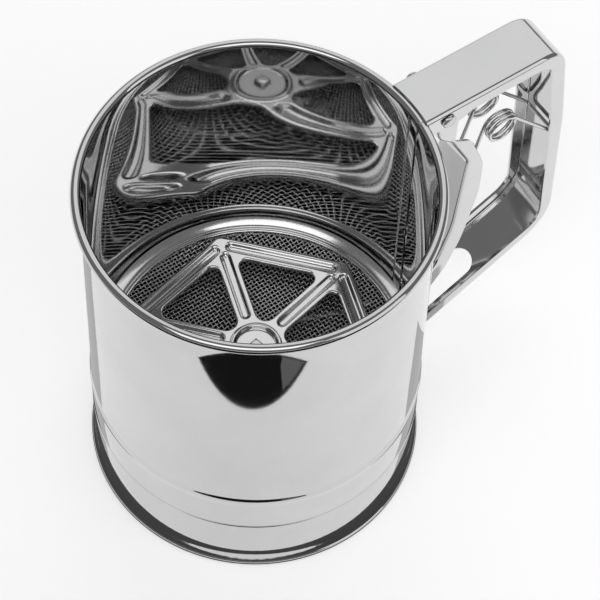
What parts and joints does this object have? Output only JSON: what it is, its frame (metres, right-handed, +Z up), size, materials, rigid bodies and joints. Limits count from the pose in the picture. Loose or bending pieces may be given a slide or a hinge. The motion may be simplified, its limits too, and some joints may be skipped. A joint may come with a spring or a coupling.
{
  "type": "flour sifter",
  "caption": "Cylindrical steel cup with a woven screen, a turning star above it and a side loop handle holding a sprung squeeze trigger.",
  "frame": {"origin": "middle of the whole object's bounding box, at the height of the surface it stands on", "axes": "+X from the cup towards the handle, +Y across the handle, +Z up along the cup's axis"},
  "size_m": [0.1584, 0.105, 0.1309],
  "materials": {
    "polished_steel": "mirror-polished stainless sheet",
    "pressed_steel": "bright pressed stainless sheet",
    "star_steel": "bright stamped stainless sheet",
    "handle_steel": "bright stainless strip",
    "trigger_steel": "bright stainless strip",
    "screen_wire": "woven stainless wire",
    "wire_steel": "drawn stainless wire",
    "spring_steel": "polished spring wire",
    "hardware_steel": "tumbled stainless hardware"
  },
  "bodies": {
    "root": {"body_shell": "polished_steel", "rim_wire": "wire_steel", "screen_ring_upper": "pressed_steel", "screen_ring_lower": "pressed_steel", "screen_mesh": "screen_wire", "screen_eyelet": "hardware_steel", "eyelet_washer": "hardware_steel", "handle_channel": "handle_steel", "pivot_pin": "hardware_steel", "return_spring": "spring_steel"},
    "agitator": {"agitator_star": "star_steel", "axle": "hardware_steel", "axle_spacer": "hardware_steel", "axle_washer": "hardware_steel", "crank_arm": "pressed_steel", "crank_pin": "hardware_steel", "crank_pin_washer": "hardware_steel"},
    "link": {"link_rod": "wire_steel", "link_collar": "hardware_steel"},
    "trigger": {"trigger_channel": "trigger_steel"}
  },
  "joints": [
    {"name": "trigger_pivot", "type": "hinge", "parent": "root", "child": "trigger", "pos_m": [0.03181, 0, 0.1272], "axis": [0, -1, 0], "range_deg": [0, 8], "stiffness_Nm_per_rad": 2, "springref_deg": -5.73, "deforming": ["return_spring"]},
    {"name": "agitator_spin", "type": "hinge", "parent": "root", "child": "agitator", "pos_m": [-0.02669, 0, 0.04], "axis": [0, 0, 1], "range_deg": [-51.5, 0]},
    {"name": "link_swing", "type": "hinge", "parent": "agitator", "child": "link", "pos_m": [-0.0332, 0.01352, 0.0334], "axis": [0, 0, 1], "range_deg": [0, 51.5]}
  ],
  "couplings": [
    {"joint": "agitator_spin", "follows": "trigger_pivot", "ratio": -6.425},
    {"joint": "link_swing", "follows": "trigger_pivot", "ratio": 6.425}
  ]
}
